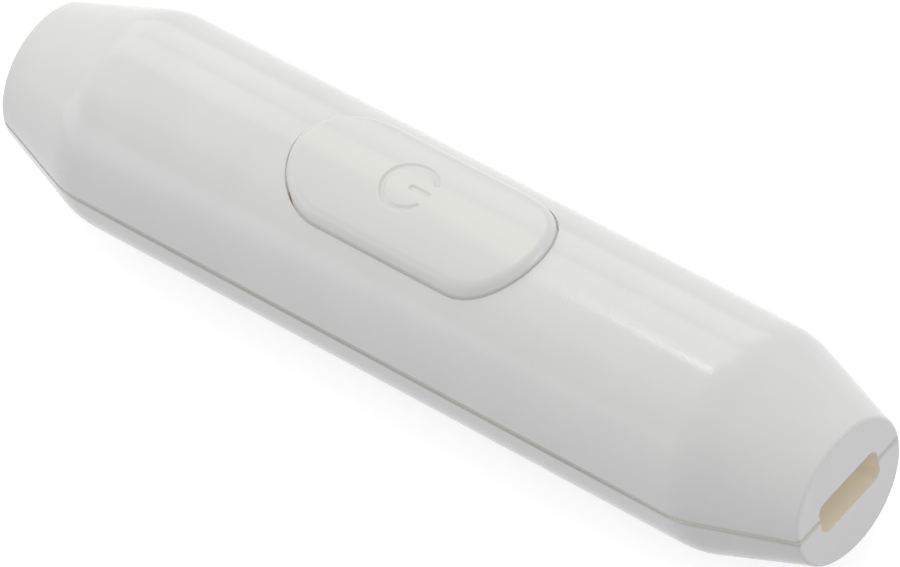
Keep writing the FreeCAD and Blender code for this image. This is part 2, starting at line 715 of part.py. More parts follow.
frame_cover = box("FrameCover", f"0 - {FRAME_X}", FRAME_X, EAR_Y, COVER_Y, EAR_BASE, FRAME_TOP)

# Latch pin bent from wire, hung from its upper leg
LINK_Y = f"({FRAME_Y} + Sizes.chamber_depth / 2)"
PIVOT_Y = f"({FRAME_Y} - Sizes.frame_wall + 2 * Sizes.pin_fit)"
TIP_Y = f"({TRACK_FLOOR} + 3 * Sizes.pin_fit)"
pin_parts = [
    rod("PinPivot", "Sizes.pin_radius", f"{LINK_Y} - {PIVOT_Y}", "0", PIVOT_Y, PIN_PIVOT, "Y"),
    rod("PinLink", "Sizes.pin_radius", PIN_REACH, "0", LINK_Y, PIN_LEVEL),
    rod("PinTip", "Sizes.pin_radius", f"{LINK_Y} - {TIP_Y}", "0", TIP_Y, PIN_LEVEL, "Y"),
]
latch_pin = fuse("LatchPin", pin_parts)

BLOCK_TOP = f"({STRIP_TOP} + Sizes.block_height)"
BLOCK_OUT = "(Sizes.block_y + Sizes.block_width / 2)"
BLOCK_IN = "(Sizes.block_y - Sizes.block_width / 2)"
WIRE_TOP = f"({STRIP_TOP} + Sizes.wire_opening)"


def terminal_block(name, sign, side):
    """Brass block on a strip, bored along X for the wire and from above for the screw."""
    x = f"{sign} * {BLOCK_X}"
    y = f"{side} * Sizes.block_y"
    length = "Sizes.block_length / 2"
    block = around_box(name, x, length, y, "Sizes.block_width / 2", STRIP_BASE, BLOCK_TOP)
    bore = around_box(
        name + "Bore", x, f"{length} + {OVER}", y, "Sizes.wire_opening / 2", STRIP_TOP, WIRE_TOP
    )
    hole_length = f"Sizes.block_height + {OVER} - Sizes.wire_opening / 2"
    hole_base = f"{STRIP_TOP} + Sizes.wire_opening / 2"
    hole = rod(name + "Hole", "Sizes.grub_radius + Sizes.thread_fit", hole_length, x, y, hole_base)
    return cut(name + "Bored", block, fuse(name + "Bores", [bore, hole]))


def line_terminal(name, sign):
    """Line terminal: contact strip towards the middle and a block at the outer end."""
    inner = "(Sizes.contact_x - Sizes.tip_half - Sizes.strip_margin)"
    near = f"({BLOCK_X} - Sizes.block_length / 2 - Sizes.block_step)"
    bend = f"({near} - Sizes.elbow_length)"
    strip_half = "(Sizes.bridge_width / 2 + Sizes.strip_margin)"
    plates = [
        ("Strip", inner, near, f"0 - {strip_half}", strip_half),
        ("Elbow", bend, near, "0", BLOCK_OUT),
        ("Plate", bend, BLOCK_X, BLOCK_IN, BLOCK_OUT),
    ]
    parts = [terminal_block(name + "Block", sign, 1)]
    for tag, start, end, y0, y1 in plates:
        x0, x1 = (start, end) if sign > 0 else (f"0 - {end}", f"0 - {start}")
        parts.append(box(name + tag, x0, x1, y0, y1, STRIP_BASE, STRIP_TOP))
    return fuse(name, parts)


# Terminals and their fixed contacts
line_in_terminal = line_terminal("LineIn", 1)
line_out_terminal = line_terminal("LineOut", -1)
LINK_END = f"({BLOCK_X} + Sizes.block_length / 2)"
LINK_IN = f"(Sizes.link_width - {BLOCK_OUT})"
neutral_parts = [
    box("NeutralStrip", f"0 - {LINK_END}", LINK_END, f"0 - {BLOCK_OUT}", LINK_IN, STRIP_BASE, STRIP_TOP),
    terminal_block("NeutralA", -1, -1),
    terminal_block("NeutralB", 1, -1),
]
neutral_link = fuse("NeutralLink", neutral_parts)
fixed_tips = pads("FixedTips", STRIP_TOP)


def slotted(name, solid, x, y, top):
    """Screw with a driver slot cut in its top."""
    wide = f"Sizes.clamp_head_radius + {OVER}"
    base = f"{top} - Sizes.driver_slot"
    slot = around_box(name + "Slot", x, wide, y, "Sizes.driver_slot / 2", base, f"{top} + {OVER}")
    return cut(name, solid, slot)


# Terminal screws, cord clamps and clamp screws
terminal_list = []
clamp_list = []
bars = []
GRUB_TOP = f"({BLOCK_TOP} + Sizes.grub_stand)"
RIDGE_BASE = "(Sizes.post_top - Sizes.ridge_half)"
for tag, sign in (("A", -1), ("B", 1)):
    for number, side in ((1, -1), (2, 1)):
        name = f"TerminalScrew{tag}{number}"
        grub_x = f"{sign} * {BLOCK_X}"
        grub_y = f"{side} * Sizes.block_y"
        grub = rod(name + "Body", "Sizes.grub_radius", f"{GRUB_TOP} - {WIRE_TOP}", grub_x, grub_y, WIRE_TOP)
        terminal_list.append(slotted(name, grub, grub_x, grub_y, GRUB_TOP))
    bar_x = f"{sign} * {CLAMP_X}"
    screw_y = f"{sign} * {CLAMP_Y}"
    bar = around_box(
        "ClampBar" + tag,
        bar_x,
        "Sizes.clamp_length / 2",
        "0",
        f"{CAVITY} - Sizes.clamp_inset",
        "Sizes.post_top",
        CLAMP_TOP,
    )
    ridge_half = "Sizes.ridge_half"
    ridge = around_box(
        "ClampRidge" + tag, bar_x, ridge_half, "0", "Sizes.ridge_length / 2", RIDGE_BASE, CLAMP_TOP
    )
    bar_hole = rod(
        "ClampHole" + tag,
        "Sizes.clamp_screw_radius + Sizes.screw_clearance",
        f"Sizes.clamp_height + 2 * {OVER}",
        bar_x,
        screw_y,
        f"Sizes.post_top - {OVER}",
    )
    bars.append(cut("ClampBored" + tag, fuse("ClampSolid" + tag, [bar, ridge]), bar_hole))
    name = "ClampScrew" + tag
    head = rod(name + "Head", "Sizes.clamp_head_radius", "Sizes.clamp_head_height", bar_x, screw_y, CLAMP_TOP)
    shank_base = f"{CLAMP_TOP} - Sizes.clamp_screw_length"
    shank = rod(
        name + "Shank", "Sizes.clamp_screw_radius", "Sizes.clamp_screw_length", bar_x, screw_y, shank_base
    )
    head_top = f"({CLAMP_TOP} + Sizes.clamp_head_height)"
    clamp_list.append(slotted(name, fuse(name + "Solid", [head, shank]), bar_x, screw_y, head_top))
cord_clamp_far, cord_clamp_near = bars
terminal_screws = group("TerminalScrews", terminal_list)
clamp_screws = group("ClampScrews", clamp_list)

# Housing screws from below with cross recesses
HEAD_SEAT = f"({BASE} + Sizes.recess_depth)"
HEAD_BASE = f"({HEAD_SEAT} - Sizes.screw_head_height)"
SHANK_LENGTH = f"{SEAM} + Sizes.pilot_depth - Sizes.screw_end_gap - {HEAD_SEAT}"
CROSS_LONG = "Sizes.cross_length / 2"
CROSS_THIN = "Sizes.cross_width / 2"
housing_list = []
for tag, sign in (("A", -1), ("B", 1)):
    x = f"{sign} * {BOSS_X}"
    head = rod("HousingHead" + tag, "Sizes.screw_head_radius", "Sizes.screw_head_height", x, "0", HEAD_BASE)
    shank = rod("HousingShank" + tag, "Sizes.screw_radius", SHANK_LENGTH, x, "0", HEAD_SEAT)
    cross = []
    for number, half_x, half_y in ((1, CROSS_LONG, CROSS_THIN), (2, CROSS_THIN, CROSS_LONG)):
        cross_top = f"{HEAD_BASE} + Sizes.cross_depth"
        cross.append(
            around_box(f"Cross{tag}{number}", x, half_x, "0", half_y, f"{HEAD_BASE} - {OVER}", cross_top)
        )
    screw = fuse("HousingSolid" + tag, [head, shank])
    housing_list.append(cut("HousingScrew" + tag, screw, fuse("Cross" + tag, cross)))
housing_screws = group("HousingScrews", housing_list)

NODES = {
    "upper_shell": upper_shell,
    "lower_shell": lower_shell,
    "push_key": push_key,
    "plunger": plunger,
    "mechanism_frame": mechanism_frame,
    "frame_cover": frame_cover,
    "latch_pin": latch_pin,
    "return_spring": return_spring,
    "contact_bridge": contact_bridge,
    "moving_tips": moving_tips,
    "contact_spring": contact_spring,
    "fixed_tips": fixed_tips,
    "line_in_terminal": line_in_terminal,
    "line_out_terminal": line_out_terminal,
    "neutral_link": neutral_link,
    "terminal_screws": terminal_screws,
    "cord_clamp_near": cord_clamp_near,
    "cord_clamp_far": cord_clamp_far,
    "clamp_screws": clamp_screws,
    "housing_screws": housing_screws,
}

# Check and export every piece
doc.recompute()
for item in doc.Objects:
    if "Invalid" in item.State or "Error" in item.State:
        raise RuntimeError(f"{item.Name} did not build: {item.State}")
os.makedirs("parts", exist_ok=True)
for node, item in NODES.items():
    shape = item.Shape
    if shape.isNull() or not shape.isValid() or not shape.Solids:
        raise RuntimeError(f"{node} has no valid solid")
    shape.exportStep(f"parts/{node}.step")
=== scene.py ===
"""Looks, light and camera of the inline cord switch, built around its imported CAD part."""

import math

import bpy
from mathutils import Matrix, Vector

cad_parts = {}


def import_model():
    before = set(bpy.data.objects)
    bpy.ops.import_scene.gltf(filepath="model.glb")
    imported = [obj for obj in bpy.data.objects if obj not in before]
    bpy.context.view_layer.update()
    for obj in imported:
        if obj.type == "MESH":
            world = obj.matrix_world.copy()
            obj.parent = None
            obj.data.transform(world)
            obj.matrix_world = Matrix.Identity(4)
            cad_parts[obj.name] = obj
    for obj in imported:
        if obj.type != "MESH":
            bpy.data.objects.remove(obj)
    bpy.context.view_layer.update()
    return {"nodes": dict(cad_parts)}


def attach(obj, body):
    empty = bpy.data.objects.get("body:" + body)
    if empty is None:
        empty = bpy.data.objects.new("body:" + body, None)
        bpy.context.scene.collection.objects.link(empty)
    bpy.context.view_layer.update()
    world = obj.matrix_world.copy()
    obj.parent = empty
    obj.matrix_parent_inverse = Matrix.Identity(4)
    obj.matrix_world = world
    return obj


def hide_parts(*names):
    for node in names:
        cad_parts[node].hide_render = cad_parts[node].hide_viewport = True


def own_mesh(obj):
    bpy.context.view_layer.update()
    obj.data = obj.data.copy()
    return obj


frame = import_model()

MM = 0.001

# Sizes of the part, in millimetres
AXIS = 9.0
SKIN = 9.65
KINK = 32.4
KINK_RADIUS = 8.0
HALF_LENGTH = 42.0
END_RADIUS = 6.38
END_BEVEL = 0.2
SEAM = 9.2
SEAM_GAP = 0.26
SLOT_HALF_WIDTH = 3.65
SLOT_HALF_HEIGHT = 1.65
KEY_HALF_LENGTH = 12.45
KEY_HALF_WIDTH = 5.6
KEY_DOME = 10.4
KEY_BASE = 14.0
KEY_WALL = 1.3
KEY_SKIRT_BEVEL = 0.2
KEY_RIM = 0.8
TAB_IN = 11.8
TAB_OUT = 13.75
TAB_HALF_WIDTH = 2.0
TAB_BASE = 15.15
TAB_TOP = 16.65
BOSS_HALF = (3.5, 3.6)
BOSS_BASE = 14.2
BOSS_TOP = 17.9
SOCKET_HALF = (2.52, 2.62)
SOCKET_TOP = 16.2
OVERCUT = 1.0

# Zones of the plastic's painted warm bounce light, painted shade and painted glow, in millimetres
INNER_DEPTH = (0.2, 0.6)
INNER_END = (41.4, 41.8)
CHAMBER_HALF_HEIGHT = 5.0
SLOT_MARGIN = 0.01
FACE_MARGIN = 0.015
SEAM_DEPTH = (0.02, 0.12)
SEAM_MARGIN = 0.005
LIP_HEIGHT = (0.22, 0.5)
LIP_FADE = (20.0, 36.0)
KEY_GAP_DEPTH = (0.12, 0.3)
KEY_GAP_HEIGHT = 7.0
KEY_GAP_HALF_LENGTH = 14.0
KEY_SIDE_DEPTH = (0.02, 0.3)

# Strengths of the painted shade on the skin beside the seam and of the painted glow
LIP_PAINTED_SHADE = 0.6
LIP_END_SHARE = 0.5
SLOT_GLOW = 0.11
SEAM_GLOW = 0.27
KEY_GLOW = 0.16

# How well a facet agrees with the form that it stands for, lengths in millimetres
SKIN_ERROR = 0.04
SKIN_FACING = 0.97
BEVEL_ERROR = 0.02
BEVEL_LEAN = (0.5, 0.95)
END_ERROR = 0.01

# Edges sharper than these stay sharp, in degrees
CAD_ANGLE = 28
KEY_ANGLE = 50
COIL_ANGLE = 60


def link(item):
    """Puts an object into the scene."""
    bpy.context.scene.collection.objects.link(item)
    return item


def smooth(mesh, angle):
    """Shades a mesh smooth but for edges sharper than the angle."""
    mesh.shade_smooth()
    mesh.set_sharp_from_angle(angle=math.radians(angle))


def mesh_from(name, points, faces, angle):
    """A mesh object from points in millimetres."""
    mesh = bpy.data.meshes.new(name)
    mesh.from_pydata([Vector(point) * MM for point in points], [], faces)
    mesh.validate()
    mesh.update()
    smooth(mesh, angle)
    return link(bpy.data.objects.new(name, mesh))


# Materials


class Nodes:
    """Short forms for building one material's node tree."""

    def __init__(self, name):
        self.material = bpy.data.materials.new(name)
        self.material.use_nodes = True
        self.tree = self.material.node_tree
        self.shader = self.tree.nodes["Principled BSDF"]

    def add(self, kind, **settings):
        node = self.tree.nodes.new(kind)
        for key, value in settings.items():
            setattr(node, key, value)
        return node

    def join(self, output, target):
        self.tree.links.new(output, target)

    def feed(self, **outputs):
        """Links outputs to the shader's sockets of those names."""
        for key, output in outputs.items():
            self.join(output, self.shader.inputs[key.replace("_", " ")])

    def set(self, **values):
        """Sets constant values on the shader's sockets of those names."""
        for key, value in values.items():
            self.shader.inputs[key.replace("_", " ")].default_value = value

    def place(self):
        return self.add("ShaderNodeTexCoord").outputs["Object"]

    def noise(self, scale, detail):
        node = self.add("ShaderNodeTexNoise")
        node.inputs["Scale"].default_value = scale
        node.inputs["Detail"].default_value = detail
        self.join(self.place(), node.inputs["Vector"])
        return node.outputs["Fac"]

    def ramp(self, factor, low, dark, high, light):
        """A colour that goes from dark to light as the factor goes from low to high."""
        node = self.add("ShaderNodeValToRGB")
        for element, position, colour in zip(node.color_ramp.elements, (low, high), (dark, light)):
            element.position = position
            element.color = (*colour, 1.0)
        self.join(factor, node.inputs["Fac"])
        return node.outputs["Color"]

    def cloud(self, scale, detail, dark, light):
        """A colour that drifts between two shades."""
        return self.ramp(self.noise(scale, detail), 0.3, dark, 0.7, light)

    def math(self, operation, *values):
        node = self.add("ShaderNodeMath", operation=operation)
        for socket, value in zip(node.inputs, values):
            if isinstance(value, (int, float)):
                socket.default_value = value
            else:
                self.join(value, socket)
        return node.outputs["Value"]

    def times(self, first, second):
        return self.math("MULTIPLY", first, second)

    def under(self, value, limit):
        """1 where the value is below a limit in millimetres, else 0."""
        return self.math("LESS_THAN", value, limit * MM)

    def span(self, value, low, high, out_low, out_high):
        """Goes smoothly from out_low to out_high as the value goes from low to high."""
        node = self.add("ShaderNodeMapRange", interpolation_type="SMOOTHSTEP")
        node.inputs["From Min"].default_value = low
        node.inputs["From Max"].default_value = high
        node.inputs["To Min"].default_value = out_low
        node.inputs["To Max"].default_value = out_high
        self.join(value, node.inputs["Value"])
        return node.outputs["Result"]

    def zone(self, value, limits, out_low, out_high):
        """The same between two limits in millimetres."""
        return self.span(value, limits[0] * MM, limits[1] * MM, out_low, out_high)

    def mix(self, factor, first, second):
        node = self.add("ShaderNodeMix", data_type="RGBA")
        self.join(factor, node.inputs["Factor"])
        self.join(first, node.inputs[6])
        self.join(second, node.inputs[7])
        return node.outputs[2]

    def depth_below_skin(self):
        """How far a point lies inside the housing's outer form, and its distances from the middle."""
        axes = self.add("ShaderNodeSeparateXYZ")
        self.join(self.place(), axes.inputs[0])
        along = self.math("ABSOLUTE", axes.outputs["X"])
        across = self.math("ABSOLUTE", axes.outputs["Y"])
        height = self.math("SUBTRACT", axes.outputs["Z"], AXIS * MM)
        squares = self.math("ADD", self.math("POWER", across, 2.0), self.times(height, height))
        slope = (SKIN - END_RADIUS) / (HALF_LENGTH - KINK)
        past_kink = self.math("MAXIMUM", self.math("SUBTRACT", along, KINK * MM), 0.0)
        skin = self.math("SUBTRACT", SKIN * MM, self.times(past_kink, slope))
        return self.math("SUBTRACT", skin, self.math("SQRT", squares)), along, across, height

    def bump(self, scale, distance, strength):
        """Fine grain of that height."""
        node = self.add("ShaderNodeBump")
        node.inputs["Distance"].default_value = distance
        node.inputs["Strength"].default_value = strength
        self.join(self.noise(scale, 2.0), node.inputs["Height"])
        return node


def housing_plastic():
    """Satin white plastic, with painted warm bounce light in the slots and hollow, painted shading beside and
    inside the seam, and a painted glow in the slots, seam and key gap in place of light coming through.
    """
    m = Nodes("housing_plastic")
    m.set(Roughness=0.15, IOR=1.42)
    outside = m.cloud(160.0, 3.0, (0.785, 0.787, 0.79), (0.81, 0.81, 0.81))
    # Painted warm bounce light: a warm tan for the surfaces inside the slots and the hollow, in place of
    # light bounced inside the housing.
    inside = m.cloud(90.0, 2.0, (0.84, 0.76, 0.62), (0.88, 0.80, 0.66))
    # Painted shade: a dark brown-grey for the skin beside the seam and for the inside of the seam gap.
    painted_shade = m.cloud(260.0, 2.0, (0.40, 0.39, 0.35), (0.45, 0.44, 0.40))
    depth, along, across, height = m.depth_below_skin()
    off_axis = m.math("ABSOLUTE", height)
    off_seam = m.math("ABSOLUTE", m.math("SUBTRACT", height, (SEAM - AXIS) * MM))

    # Masks for where the painted warm bounce light and painted glow go: inside the hollow and in the slots.
    inner = m.times(m.zone(depth, INNER_DEPTH, 0.0, 1.0), m.zone(along, INNER_END, 1.0, 0.0))
    wide = m.under(across, SLOT_HALF_WIDTH + SLOT_MARGIN)
    high = m.under(off_axis, SLOT_HALF_HEIGHT + SLOT_MARGIN)
    slot = m.times(m.times(wide, high), m.under(along, HALF_LENGTH - FACE_MARGIN))
    within = m.times(m.math("MAXIMUM", inner, slot), m.under(off_axis, CHAMBER_HALF_HEIGHT))

    # Mask of the inside of the seam gap, which gets painted shade and a painted glow.
    seam = m.times(m.under(off_seam, SEAM_GAP / 2 + SEAM_MARGIN), m.zone(depth, SEAM_DEPTH, 0.0, 1.0))
    # Painted shade on the skin either side of the seam, weaker towards the ends.
    painted_lip_shade = m.times(m.zone(off_seam, LIP_HEIGHT, LIP_PAINTED_SHADE, 0.0), m.zone(along, LIP_FADE, 1.0, LIP_END_SHARE))
    above = m.math("GREATER_THAN", height, KEY_GAP_HEIGHT * MM)
    key_hole = m.times(above, m.under(along, KEY_GAP_HALF_LENGTH))
    key_gap = m.times(key_hole, m.zone(depth, KEY_GAP_DEPTH, 0.0, 1.0))

    # Base colour: painted warm bounce light inside, painted shade beside the seam, else the plastic's own
    # colour.
    colour = m.mix(within, m.mix(painted_lip_shade, outside, painted_shade), inside)
    # Painted glow: emission in the slots, the seam gap and the key gap in place of light that comes through
    # the thin walls.
    wide_open = m.times(within, m.math("SUBTRACT", 1.0, seam))
    narrow_glow = m.math("ADD", m.times(seam, SEAM_GLOW), m.times(key_gap, KEY_GLOW))
    glow = m.math("ADD", m.times(wide_open, SLOT_GLOW), narrow_glow)
    glow_colour = m.ramp(wide_open, 0.0, (0.84, 0.82, 0.77), 1.0, (0.86, 0.78, 0.63))
    # The seam gap's base colour is painted shade, and the emission is a painted glow.
    m.feed(Base_Color=m.mix(seam, colour, painted_shade), Emission_Strength=glow, Emission_Color=glow_colour)

    soft = m.add("ShaderNodeBevel", samples=4)
    soft.inputs["Radius"].default_value = 0.12 * MM
    grain = m.bump(5000.0, 0.02 * MM, 0.45)
    m.join(soft.outputs["Normal"], grain.inputs["Normal"])
    m.feed(Normal=grain.outputs["Normal"])
    return m.material


def key_plastic():
    """Glossy white plastic with a faint moulded waviness, with a painted glow on its sides where it goes down
    into the housing.
    """
    m = Nodes("key_plastic")
    # The emission is a painted glow below the skin, in place of light that comes through the housing.
    m.set(Roughness=0.2, IOR=1.5, Emission_Color=(0.82, 0.80, 0.75, 1.0))
    glow = m.zone(m.depth_below_skin()[0], KEY_SIDE_DEPTH, 0.0, KEY_GLOW)
    m.feed(Base_Color=m.cloud(120.0, 2.0, (0.768, 0.77, 0.762), (0.788, 0.788, 0.778)))
    m.feed(Emission_Strength=glow, Normal=m.bump(420.0, 0.03 * MM, 0.12).outputs["Normal"])
    return m.material


def nylon():
    """Cream moulded nylon."""
    m = Nodes("nylon")
    m.set(Roughness=0.5)
    m.feed(Base_Color=m.cloud(300.0, 3.0, (0.70, 0.66, 0.56), (0.76, 0.72, 0.62)))
    m.feed(Normal=m.bump(3500.0, 0.02 * MM, 0.3).outputs["Normal"])
    return m.material


def metal(name, dark, light, rough_low, rough_high):
    """Drawn or stamped metal, with an uneven polish."""
    m = Nodes(name)
    m.set(Metallic=1.0)
    patches = m.noise(700.0, 4.0)
    m.feed(Base_Color=m.ramp(patches, 0.3, dark, 0.7, light))
    m.feed(Roughness=m.span(patches, 0.3, 0.7, rough_low, rough_high))
    m.feed(Normal=m.bump(2600.0, 0.01 * MM, 0.3).outputs["Normal"])
    return m.material


HOUSING = housing_plastic()
KEY = key_plastic()
NYLON = nylon()
SPRING = metal("spring_steel", (0.42, 0.42, 0.43), (0.55, 0.55, 0.56), 0.22, 0.34)
SCREW = metal("screw_steel", (0.50, 0.50, 0.52), (0.64, 0.64, 0.66), 0.28, 0.42)
BRASS = metal("brass", (0.62, 0.44, 0.16), (0.74, 0.55, 0.24), 0.24, 0.38)
COPPER = metal("copper", (0.66, 0.34, 0.22), (0.78, 0.43, 0.29), 0.22, 0.36)
SILVER = metal("silver", (0.74, 0.73, 0.70), (0.86, 0.85, 0.83), 0.2, 0.32)

FINISH = {
    "upper_shell": HOUSING,
    "lower_shell": HOUSING,
    "plunger": NYLON,
    "mechanism_frame": NYLON,
    "frame_cover": NYLON,
    "latch_pin": SPRING,
    "contact_bridge": COPPER,
    "contact_spring": SPRING,
    "moving_tips": SILVER,
    "fixed_tips": SILVER,
    "line_in_terminal": BRASS,
    "line_out_terminal": BRASS,
    "neutral_link": BRASS,
    "terminal_screws": SCREW,
    "cord_clamp_near": NYLON,
    "cord_clamp_far": NYLON,
    "clamp_screws": SCREW,
    "housing_screws": SCREW,
}


def dress(node, material):
    """Gives a CAD node its material and smooth shading between its real edges."""
    mesh = frame["nodes"][node].data
    mesh.materials.clear()
    mesh.materials.append(material)
    smooth(mesh, CAD_ANGLE)


def skin_at(x):
    """Radius of the housing's skin and the lean of its normal, at a place along the axis."""
    lean = math.atan2(SKIN - END_RADIUS, HALF_LENGTH - KINK)
    reach = KINK_RADIUS * math.tan(lean / 2)
    along = abs(x)
    if along <= KINK - reach:
        return SKIN, 0.0
    if along < KINK + reach * math.cos(lean):
        turn = math.asin((along - KINK + reach) / KINK_RADIUS)
        return SKIN - KINK_RADIUS * (1 - math.cos(turn)), math.copysign(turn, x)
    return SKIN - math.tan(lean) * (along - KINK), math.copysign(lean, x)


def skin_normal(point):
    """The true normal of the skin at a point, in millimetres."""
    lean = skin_at(point.x)[1]
    across = Vector((0.0, point.y, point.z - AXIS)).normalized()
    return across * math.cos(lean) + Vector((math.sin(lean), 0.0, 0.0))


def bevel_normal(point):
    """The normal at an edge of an end bevel, which looks round between end face and skin."""
    if abs(point.x) > HALF_LENGTH - END_ERROR:
        return Vector((math.copysign(1.0, point.x), 0.0, 0.0))
    return skin_normal(point)


def on_skin(face, corners):
    """Whether a face is part of the round skin, within the error of its facets."""
    centre = sum(corners, Vector()) / len(corners)
    for point in corners + [centre]:
        depth = skin_at(point.x)[0] - math.hypot(point.y, point.z - AXIS)
        if abs(depth) >= SKIN_ERROR:
            return False
    return face.normal.dot(skin_normal(centre)) > SKIN_FACING


def on_bevel(face, corners):
    """Whether a face is part of the bevel around an end face."""
    inner_edge = HALF_LENGTH - END_BEVEL - BEVEL_ERROR
    leans = BEVEL_LEAN[0] < abs(face.normal.x) < BEVEL_LEAN[1]
    return leans and all(abs(point.x) > inner_edge for point in corners)


def smooth_skin(node):
    """Gives the round faces of a shell the normals of the true form, and rounds its end bevels."""
    mesh = frame["nodes"][node].data
    normals = [corner.vector.copy() for corner in mesh.corner_normals]
    for face in mesh.polygons:
        corners = [mesh.vertices[number].co / MM for number in face.vertices]
        normal_at = None
        if on_skin(face, corners):
            normal_at = skin_normal
        elif on_bevel(face, corners):
            normal_at = bevel_normal
        if normal_at:
            for loop, point in zip(face.loop_indices, corners):
                normals[loop] = normal_at(point)
    mesh.normals_split_custom_set(normals)


for node, material in FINISH.items():
    dress(node, material)
smooth_skin("upper_shell")
smooth_skin("lower_shell")


# Push key with its power sign

SIGN_X = -1.0
SIGN_Y = 0.1
SIGN_RADIUS = 2.25
SIGN_HALF_LINE = 0.22
SIGN_EDGE = 0.2
SIGN_DEPTH = 0.15
SIGN_GAP = math.radians(36)
SIGN_BAR = (0.3, 2.0)

# Fineness of the key's mesh, in millimetres and numbers of steps
SIGN_REACH = 2.8
FINE_STEP = 0.06
COARSE_STEP = 0.45
COARSE_SHARE = 0.08
END_STEPS = 20
RIM_STEPS = 8
CEILING_STEPS = 12


def sign_depth(x, y):
    """How deep the sign is moulded into the key at a point of its top."""
    dx = x - SIGN_X
    dy = y - SIGN_Y
    turn = abs(math.atan2(dy, dx))
    ring = abs(math.hypot(dx, dy) - SIGN_RADIUS)
    if turn < SIGN_GAP:
        tip_x = SIGN_RADIUS * math.cos(SIGN_GAP)
        tip_y = SIGN_RADIUS * math.sin(SIGN_GAP)
        ring = math.hypot(dx - tip_x, abs(dy) - tip_y)
    nearest = min(max(dx, SIGN_BAR[0]), SIGN_BAR[1])
    bar = math.hypot(dx - nearest, dy)
    share = min(max(0.5 - (min(ring, bar) - SIGN_HALF_LINE) / SIGN_EDGE, 0.0), 1.0)
    return SIGN_DEPTH * share * share * (3 - 2 * share)


def dome(y):
    """Height of the key's top above the base."""
    return AXIS + math.sqrt(KEY_DOME * KEY_DOME - y * y)


def ceiling(y):
    """Height of the hollow inside the key."""
    return AXIS + math.sqrt((KEY_DOME - KEY_WALL) ** 2 - y * y)


def spread(low, high, fine_low, fine_high, coarse, fine):
    """Stations from low to high that are close together in the fine part."""
    stations = []
    for start, end, step in ((low, fine_low, coarse), (fine_low, fine_high, fine), (fine_high, high, coarse)):
        count = max(1, round((end - start) / step))
        stations += [start + (end - start) * number / count for number in range(count)]
    return stations + [high]


def key_mesh():
    """The hollow key with a rounded rim and the sign in its top."""
    points = []
    faces = []
    straight = KEY_HALF_LENGTH - KEY_HALF_WIDTH
    half = KEY_HALF_WIDTH - KEY_RIM
    turns = [math.pi / 2 * number / END_STEPS for number in range(1, END_STEPS)]
    middle = spread(-straight, straight, SIGN_X - SIGN_REACH, SIGN_X + SIGN_REACH, COARSE_STEP, FINE_STEP)
    stations = [(-straight - half * math.sin(turn), half * math.cos(turn)) for turn in reversed(turns)]
    stations += [(x, half) for x in middle]
    stations += [(straight + half * math.sin(turn), half * math.cos(turn)) for turn in turns]
    sign_low = (SIGN_Y - SIGN_REACH) / half
    sign_high = (SIGN_Y + SIGN_REACH) / half
    shares = spread(-1.0, 1.0, sign_low, sign_high, COARSE_SHARE, FINE_STEP / half)

    def top_point(x, y):
        points.append((x, y, dome(y) - sign_depth(x, y)))
        return len(points) - 1

    rows = [[top_point(x, share * width) for share in shares] for x, width in stations]
    for first, second in zip(rows, rows[1:]):
        for number in range(len(shares) - 1):
            faces.append((first[number], second[number], second[number + 1], first[number + 1]))
    far_tip = top_point(-straight - half, 0.0)
    near_tip = top_point(straight + half, 0.0)
    for number in range(len(shares) - 1):
        faces.append((far_tip, rows[0][number], rows[0][number + 1]))
        faces.append((near_tip, rows[-1][number + 1], rows[-1][number]))

    edge = [row[0] for row in rows] + [near_tip] + [row[-1] for row in reversed(rows)] + [far_tip]
    plan = [points[number][:2] for number in edge]

    def outward(x, y):
        centre = min(max(x, -straight), straight)
        length = math.hypot(x - centre, y)
        return (x - centre) / length, y / length

    normals = [outward(x, y) for x, y in plan]

    def ring(offset, height):
        start = len(points)
        for (x, y), (nx, ny) in zip(plan, normals):
            across = y + ny * offset
            points.append((x + nx * offset, across, height(across)))
        return list(range(start, len(points)))

    def wall(first, second):
        count = len(first)
        for number in range(count):
            following = (number + 1) % count
            faces.append((first[number], second[number], second[following], first[following]))

    def foot(y):
        return KEY_BASE

    def above_foot(y):
        return KEY_BASE + KEY_SKIRT_BEVEL

    loops = [edge]
    for number in range(1, RIM_STEPS + 1):
        angle = math.pi / 2 * number / RIM_STEPS
        drop = KEY_RIM * (1 - math.cos(angle))
        loops.append(ring(KEY_RIM * math.sin(angle), lambda y, drop=drop: dome(y) - drop))
    loops.append(ring(KEY_RIM, above_foot))
    loops.append(ring(KEY_RIM - KEY_SKIRT_BEVEL, foot))
    loops.append(ring(KEY_RIM - KEY_WALL + KEY_SKIRT_BEVEL, foot))
    loops.append(ring(KEY_RIM - KEY_WALL, above_foot))
    loops.append(ring(KEY_RIM - KEY_WALL, ceiling))
    for first, second in zip(loops, loops[1:]):
        wall(first, second)

    inner = loops[-1]
    count = len(rows)
    low = inner[:count]
    high = list(reversed(inner[count + 1 : 2 * count + 1]))
    strips = []
    for a, b in zip(low, high):
        strip = [a]
        for number in range(1, CEILING_STEPS):
            share = number / CEILING_STEPS
            x = points[a][0] + (points[b][0] - points[a][0]) * share
            y = points[a][1] + (points[b][1] - points[a][1]) * share
            points.append((x, y, ceiling(y)))
            strip.append(len(points) - 1)
        strips.append(strip + [b])
    for first, second in zip(strips, strips[1:]):
        for number in range(CEILING_STEPS):
            faces.append((first[number], first[number + 1], second[number + 1], second[number]))
    for number in range(CEILING_STEPS):
        faces.append((inner[count], strips[-1][number], strips[-1][number + 1]))
        faces.append((inner[-1], strips[0][number + 1], strips[0][number]))
    return mesh_from("key_cap", points, faces, KEY_ANGLE)


